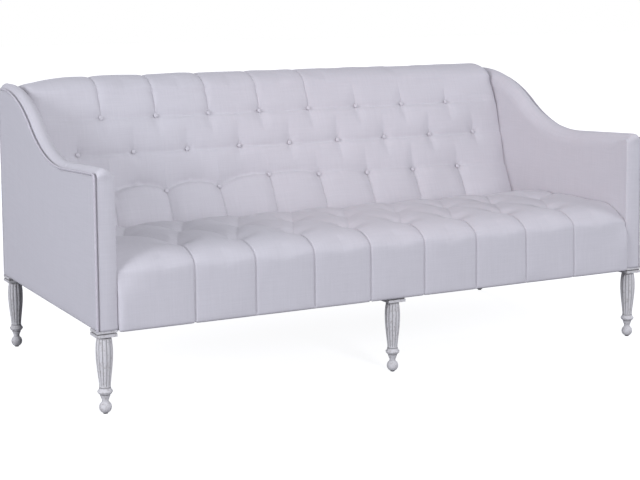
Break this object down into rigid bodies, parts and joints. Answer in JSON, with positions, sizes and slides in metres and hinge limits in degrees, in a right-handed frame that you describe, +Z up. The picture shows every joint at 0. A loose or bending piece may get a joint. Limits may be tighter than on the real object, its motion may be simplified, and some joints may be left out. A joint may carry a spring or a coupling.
{
  "type": "settee",
  "caption": "Upholstered settee with sweeping arms, a buttoned back, a tufted channel-front seat and turned, reeded legs.",
  "frame": {"origin": "centre of the plan at floor level", "axes": "+X to the right as seen from the front, +Y towards the back, +Z up"},
  "size_m": [1.93, 0.96, 0.898],
  "materials": {
    "linen": "matte",
    "button_linen": "matte",
    "welt_linen": "matte",
    "foam": "matte",
    "burlap": "matte",
    "webbing": "matte",
    "dust_cloth": "matte",
    "painted_wood": "satin",
    "steel": "satin",
    "glide_plastic": "matte",
    "frame_wood": "matte"
  },
  "bodies": {
    "root": {"front_seat_rail": "frame_wood", "back_seat_rail": "frame_wood", "side_seat_rail_left": "frame_wood", "side_seat_rail_right": "frame_wood", "spring_rail": "frame_wood", "seat_stretcher_left": "frame_wood", "seat_stretcher_centre": "frame_wood", "seat_stretcher_right": "frame_wood", "front_post_left": "frame_wood", "front_post_right": "frame_wood", "back_post_left": "frame_wood", "back_post_right": "frame_wood", "arm_top_rail_left": "frame_wood", "arm_top_rail_right": "frame_wood", "arm_tack_rail_left": "frame_wood", "arm_tack_rail_right": "frame_wood", "back_top_rail": "frame_wood", "back_tack_rails": "frame_wood", "back_upright_end_left": "frame_wood", "back_upright_left": "frame_wood", "back_upright_centre": "frame_wood", "back_upright_right": "frame_wood", "back_upright_end_right": "frame_wood", "corner_blocks": "frame_wood", "frame_dowels": "frame_wood", "corner_screws": "steel", "seat_springs": "steel", "spring_clips": "steel", "seat_deck": "burlap", "seat_foam": "foam", "seat_pad": "linen", "back_straps": "webbing", "back_cross_straps": "webbing", "back_foam": "foam", "back_pad": "linen", "back_buttons": "button_linen", "arm_inside_pad_left": "linen", "arm_inside_pad_right": "linen", "arm_top_pad_left": "linen", "arm_top_pad_right": "linen", "arm_welt_left": "welt_linen", "arm_welt_right": "welt_linen", "outside_arm_left": "linen", "outside_arm_right": "linen", "outside_back": "linen", "dust_cover": "dust_cloth", "leg_front_left": "painted_wood", "leg_front_centre": "painted_wood", "leg_front_right": "painted_wood", "leg_back_left": "painted_wood", "leg_back_right": "painted_wood", "leg_bolts": "steel", "leg_t_nuts": "steel", "foot_glides": "glide_plastic"}
  },
  "joints": []
}
